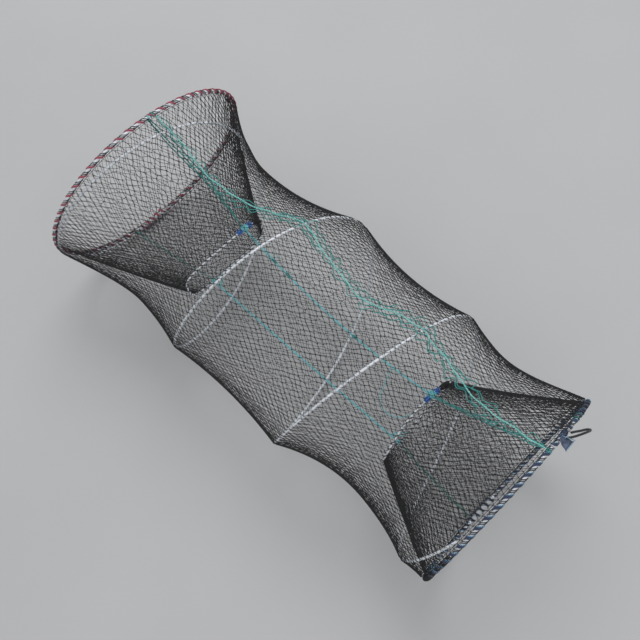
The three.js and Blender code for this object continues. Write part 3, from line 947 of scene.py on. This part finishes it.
def make_tension_cords():
    """Two-strand cords between the throats; the upper one is loose near its far end."""
    upper = tension_line(near_upper_angle, far_upper_angle, upper_sag, cord_pieces)
    lower = tension_line(near_lower_angle, far_lower_angle, lower_sag, cord_pieces)

    def loose(share):
        return 0.0006 + 0.0011 * math.exp(-((share - 0.13) / 0.07) ** 2)

    for name, line, reach, node in (
        ("upper", upper, loose, "upper_tension_cord"), ("lower", lower, 0.0006, "lower_tension_cord"),
    ):
        routes = [wound_round(line, reach, cord_lay, math.pi * k, 12) for k in range(2)]
        piece = lines(name + "_tension_twine", routes, 0.0014, turquoise_look)
        attach(piece, "far_half", "teal_twine", node, folds=True)
    ends, ties = [], []
    for i, share in enumerate((0.17, 0.245, 0.62)):
        i_tie = int(share * cord_pieces)
        point = upper[i_tie]
        ends += [curl(point, 0.009, 1.4, 20 + i), curl(point, 0.007, 1.0, 40 + i)]
        short, _ = resample([upper[i_tie - 1], upper[i_tie + 1]], 0.0004)
        ties.append(wound_round(short, 0.0014, 0.0013, 0, 10))
    piece = lines("tension_cord_ends", ends, 0.0008, turquoise_look)
    attach(piece, "far_half", "teal_twine", folds=True)
    piece = lines("tension_cord_ties", ties, 0.0011, teal_look)
    attach(piece, "far_half", "teal_twine", folds=True)


make_net_seam()
make_funnel_seams()
make_tension_cords()


# ---------- knots ----------

def barrel(thickness):
    """A reach that swells in the middle of a winding."""
    return lambda share: thickness * (0.62 + 0.38 * math.sin(math.pi * share))


def winding(line, radius, turns, phase=0.0):
    """Turns of twine laid side by side round a short line."""
    length = length_of([Vector(p) for p in line])
    return wound_round(line, barrel(radius), length / turns, phase, 14)


wire_step = 0.0005           # of the lines that knots are wound on


def part_of(line, middle, start, end):
    """A stretch of an evenly stepped line, in metres from one of its points."""
    return line[middle + int(round(start / wire_step)):middle + int(round(end / wire_step)) + 1]


def round_tie(throat, angle, reach):
    """The throat's wire about a tie, in even steps, and which step is at the tie."""
    line, _ = resample([throat.point(angle + a) for a in np.linspace(-reach, reach, 160)], wire_step)
    tied = np.array(throat.point(angle))
    return line, int(np.argmin(np.linalg.norm(line - tied, axis=1)))


def make_throat_knot(name, throat, angle, body):
    """A turquoise middle between two lumps of cobalt twine, bound on the throat's wire."""
    line, tie = round_tie(throat, angle, 1.1)
    lumps = [winding(part_of(line, tie, -0.0115, -0.004), 0.0027, 4),
             winding(part_of(line, tie, 0.004, 0.0115), 0.0025, 4, 1.0)]
    piece = lines(name + "_lumps", lumps, 0.0023, cobalt_look, 8)
    attach(piece, body, "cobalt_twine", name)
    centre = [winding(part_of(line, tie, -0.0055, 0.0055), 0.0035, 6)]
    ring, _ = resample(part_of(line, tie, -0.003, 0.003), wire_step)
    centre.append(wound_round(ring, 0.0043, 0.0052, 0.8, 24))
    piece = lines(name + "_centre", centre, 0.0017, turquoise_look, 8)
    attach(piece, body, "cobalt_twine")
    ends = [curl(Vector(line[tie]) + Vector((0, 0, 0.0035)), 0.009, 1.3, seed)
            for seed in (len(name), len(name) + 7)]
    piece = lines(name + "_ends", ends, 0.0009, turquoise_look)
    attach(piece, body, "cobalt_twine")
    gather = [winding(part_of(line, tie, -0.027, -0.0125), 0.0030, 9)]
    piece = lines(name + "_gather", gather, 0.0016, knot_black_look)
    attach(piece, body, "black_netting")


def make_lower_knot(name, throat, angle, inwards, body):
    """The lower cord forks at its end: a small tie, and three strands to the throat's wire."""
    line, tie = round_tie(throat, angle, 0.8)
    bound = [winding(part_of(line, tie, -0.003, 0.003), 0.0020, 4)]
    piece = lines(name + "_binding", bound, 0.0013, turquoise_look, 8)
    attach(piece, body, "cobalt_twine", name)
    held = throat.point(angle)
    fork = held + Vector((inwards * 0.013, 0, 0.0012))
    forks = [smooth_line([fork, fork.lerp(held, 0.5), held], 16)]
    for end in (0.015, 0.009):
        reached = Vector(part_of(line, tie, end - wire_step, end)[-1])
        bow = (fork + reached) / 2 + Vector((inwards * 0.002, 0, 0.0015))
        forks.append(smooth_line([fork, bow, reached + Vector((0, 0, 0.0012))], 20))
    piece = lines(name + "_forks", forks, 0.0011, turquoise_look)
    attach(piece, body, "cobalt_twine")


make_throat_knot("far_upper_knot", far_throat, far_upper_angle, "far_throat")
make_throat_knot("near_upper_knot", near_throat, near_upper_angle, "near_throat")
make_lower_knot("far_lower_knot", far_throat, far_lower_angle, 1, "far_throat")
make_lower_knot("near_lower_knot", near_throat, near_lower_angle, -1, "near_throat")


throat_tie_pitch = 0.0086


def make_throat_ties():
    """Black thread that ties the funnels' edges to the throats' wires."""
    for side, throat, angle in upper_ties:
        line, _ = resample(throat_line(throat, angle), 0.001)
        between_knots = line[14:-14]
        reach = throat_wire / 2 + 0.0003
        routes = [wound_round(between_knots, reach, throat_tie_pitch, phase, 12) for phase in (0, 0.7)]
        piece = lines(side + "_throat_ties", routes, 0.0007, knot_black_look)
        attach(piece, side + "_throat", "black_netting")


make_throat_ties()


def hoop_turns(name, at, radius, body, slot, look, start, end, turns, reach, strand, shift=(0, 0, 0)):
    """Turns of twine bound round a hoop between two angles."""
    line = [point + Vector(shift) for point in hoop_line(at, radius, start, end, 0.25)]
    piece = lines(name, [winding(line, reach, turns)], strand, look, 8)
    return attach(piece, body, slot)


def make_hoop_ties():
    """The twines' ends, bound on the hoops where the seams meet them, and windings at the sides."""
    far = (0.0, far_radius, "far_hoop", "teal_twine")
    hoop_turns("far_seam_tie", *far, teal_look, 83.5, 85.5, 2, 0.0030, 0.0013)
    hoop_turns("far_seam_tie_pale", *far, turquoise_look, 86, 87.2, 1.5, 0.0030, 0.0012)
    near_teal = (trap_length, near_radius, "near_hoop", "teal_twine")
    hoop_turns("near_seam_tie", *near_teal, teal_look, 80.5, 83.5, 3, 0.0029, 0.0013)
    hoop_turns("near_seam_tie_pale", *near_teal, white_look, 78.4, 79.8, 2, 0.0028, 0.0012)
    near = (trap_length, near_radius, "near_hoop", "blue_twine")
    windings = [                # name, look, start and end in degrees, turns, reach, strand
        ("near_low_white_turns", white_look, -138, -129, 4, 0.0036, 0.0015),
        ("near_low_sky_turns", sky_look, -150, -139, 6, 0.0032, 0.0015),
        ("near_left_black_turns", knot_black_look, 145, 165, 18, 0.0026, 0.0011),
        ("near_left_gather", knot_black_look, 165, 190, 22, 0.0031, 0.0014),
        ("near_right_black_turns", knot_black_look, 14, 57, 44, 0.0025, 0.0010),
        ("near_right_navy_turns", navy_look, 44, 56, 4, 0.0032, 0.0013),
        ("near_right_teal_turns", dark_teal_look, 50, 60, 3, 0.0032, 0.0010),
        ("near_right_sky_turns", sky_look, 22, 27, 2, 0.0032, 0.0012),
    ]
    for name, look, start, end, turns, reach, strand in windings:
        hoop_turns(name, *near, look, start, end, turns, reach, strand)
    tied = hoop_turns("tie_loop_binding", *near, navy_look, 67.5, 71.5, 4, 0.0032, 0.0015)
    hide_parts("tie_loop_knot")
    hoop_turns("tie_loop_binding_pale", *near, white_look, 65.8, 67.2, 2, 0.0030, 0.0012)


def make_tie_bights():
    """Slack turns of the black cord, lying on the netting behind the knot of the tie loop."""
    routes = []
    for back, across, long, wide in ((0.0085, 0.0015, 0.0075, 0.0060), (0.0070, -0.0060, 0.0060, 0.0085)):
        route = []
        for turn in np.linspace(0, 2 * math.pi, 48):
            along = trap_length - back + long * math.cos(turn)
            angle = math.radians(66) + (across + wide * math.sin(turn)) / near_radius
            route.append(on_net(along, angle, 0.0012 + 0.0010 * math.sin(2 * turn)))
        routes.append(route)
    piece = lines("tie_cord_bights", routes, 0.0013, cord_look, 8)
    attach(piece, "near_half", "black_cord", folds=True)


def make_tie_tab():
    """A thin folded tab of blue-grey film under the tie loop."""
    deselect()
    bpy.ops.mesh.primitive_grid_add(x_subdivisions=12, y_subdivisions=10, size=1)
    tab = bpy.context.object
    tab.name = "tie_tab"
    start = outside_near_hoop(-0.005, 74.5, 0.0015)
    along = (outside_near_hoop(0.0, 67, 0.001) - outside_near_hoop(0.0, 74.5, 0.001)).normalized()
    out = Vector((1, 0, 0))
    lift = Vector((0, 0, 1))
    tab_length, root_width, widening = 0.013, 0.006, 0.012
    for vertex in tab.data.vertices:
        u, v = vertex.co.x + 0.5, vertex.co.y + 0.5
        width = root_width + widening * u
        place = start + out * (tab_length * u) + along * (width * (v - 0.35))
        fold = 0.0016 * math.sin(5.5 * v) * u + 0.0010 * math.sin(9 * u + 3 * v)
        vertex.co = place + lift * (fold - 0.004 * u)
    tab.data.update()
    thick = tab.modifiers.new("film", "SOLIDIFY")
    thick.thickness = 0.0004
    choose(tab)
    bpy.ops.object.modifier_apply(modifier="film")
    wear(tab, band_look)
    attach(tab, "near_hoop", "blue_twine")
    edge = []
    for t in np.linspace(0, 1, 20):
        beside = along * ((root_width + widening * t) * 0.65)
        edge.append(start + out * (tab_length * t) + beside + lift * (0.0016 - 0.003 * t))
    other = [start + out * 0.0125 + along * (0.018 * (t - 0.35)) + lift * (0.0012 * math.sin(5.5 * t) - 0.003)
             for t in np.linspace(0.02, 0.98, 20)]
    piece = lines("tie_tab_edges", [edge, other], 0.0009, sky_look)
    attach(piece, "near_hoop", "blue_twine")


make_hoop_ties()
make_tie_bights()
make_tie_tab()


# ---------- floor and light ----------

def make_floor():
    deselect()
    bpy.ops.mesh.primitive_plane_add(size=12, location=(0, 0, 0))
    floor = bpy.context.object
    floor.name = "floor"
    floor.data.materials.append(pale_floor("pale_floor"))


def add_light(name, place, size, power):
    data = bpy.data.lights.new(name, "AREA")
    data.shape = "DISK"
    data.size = size
    data.energy = power
    light = bpy.data.objects.new(name, data)
    light.location = place
    light.rotation_mode = "QUATERNION"
    light.rotation_quaternion = (-Vector(place)).to_track_quat("-Z", "Y")
    bpy.context.scene.collection.objects.link(light)


def make_light():
    world = bpy.data.worlds.new("studio")
    bpy.context.scene.world = world
    world.use_nodes = True
    background = world.node_tree.nodes["Background"]
    background.inputs["Color"].default_value = (0.96, 0.98, 1.0, 1)
    background.inputs["Strength"].default_value = 0.55
    add_light("key", (-0.9, 0.9, 2.4), 1.6, 26)
    add_light("fill", (1.4, -1.0, 1.8), 2.0, 10)
    bpy.context.scene.view_settings.view_transform = "Standard"


make_floor()
make_light()
